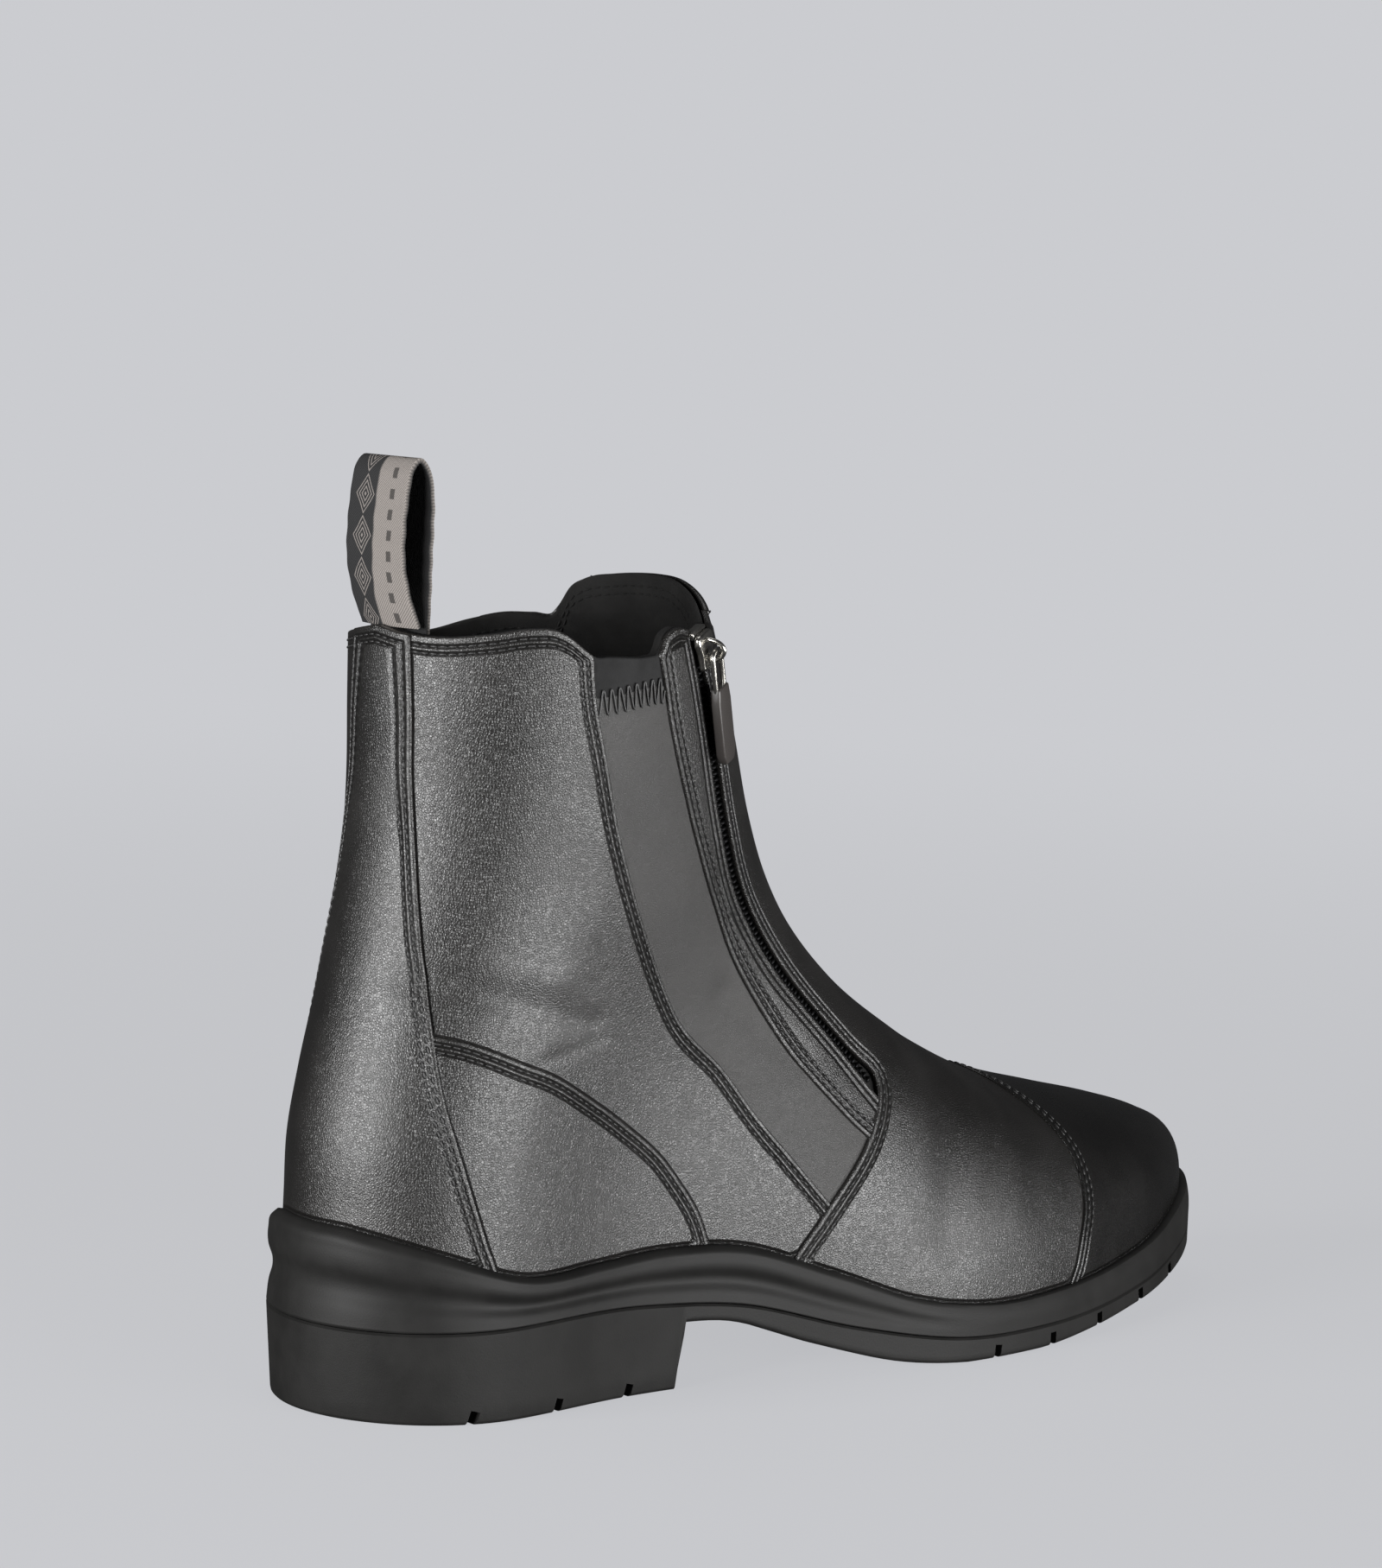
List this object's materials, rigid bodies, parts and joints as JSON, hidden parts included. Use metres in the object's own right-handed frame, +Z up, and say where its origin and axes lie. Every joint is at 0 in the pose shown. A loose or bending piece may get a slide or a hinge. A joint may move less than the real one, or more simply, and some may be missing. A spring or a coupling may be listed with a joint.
{
  "type": "paddock boot",
  "caption": "Ankle-high black leather riding boot with a zip beside the front, stretch panel, pull loop and low-heeled rubber sole.",
  "frame": {"origin": "on the floor, on the flat underside of the heel, at its middle", "axes": "+X to the toe, -Y to the outer side, +Z up; the boot stands on the plane z = 0"},
  "size_m": [0.2835, 0.0956, 0.2088],
  "materials": {
    "sole_rubber": "satin black rubber",
    "footbed": "matte black footbed",
    "lining": "matte black lining over board",
    "black_leather": "fine grained, soft sheen",
    "cap_leather": "smooth, soft sheen",
    "stretch_leather": "smooth stretch leather",
    "webbing": "twill, black and taupe grey",
    "bright_metal": "bright silver",
    "tab_black": "black, smooth",
    "tape_black": "matte black zip tape"
  },
  "bodies": {
    "boot": {"outsole": "sole_rubber", "midsole": "sole_rubber", "insole": "footbed", "upper": "lining", "toe_cap": "cap_leather", "vamp": "black_leather", "gore": "stretch_leather", "zip_band": "black_leather", "quarter_lateral": "black_leather", "quarter_medial": "black_leather", "counter_lateral": "black_leather", "counter_medial": "black_leather", "back_strap": "black_leather", "zip_chain": "tape_black", "zip_slider": "bright_metal", "pull_loop": "webbing"},
    "pull_tab": {"pull_tab": "tab_black"}
  },
  "joints": [
    {"name": "pull_tab_swing", "type": "hinge", "parent": "boot", "child": "pull_tab", "pos_m": [0.04536, -0.03769, 0.16903], "axis": [-0.8519, -0.4317, -0.2964], "range_deg": [0, 150]}
  ]
}
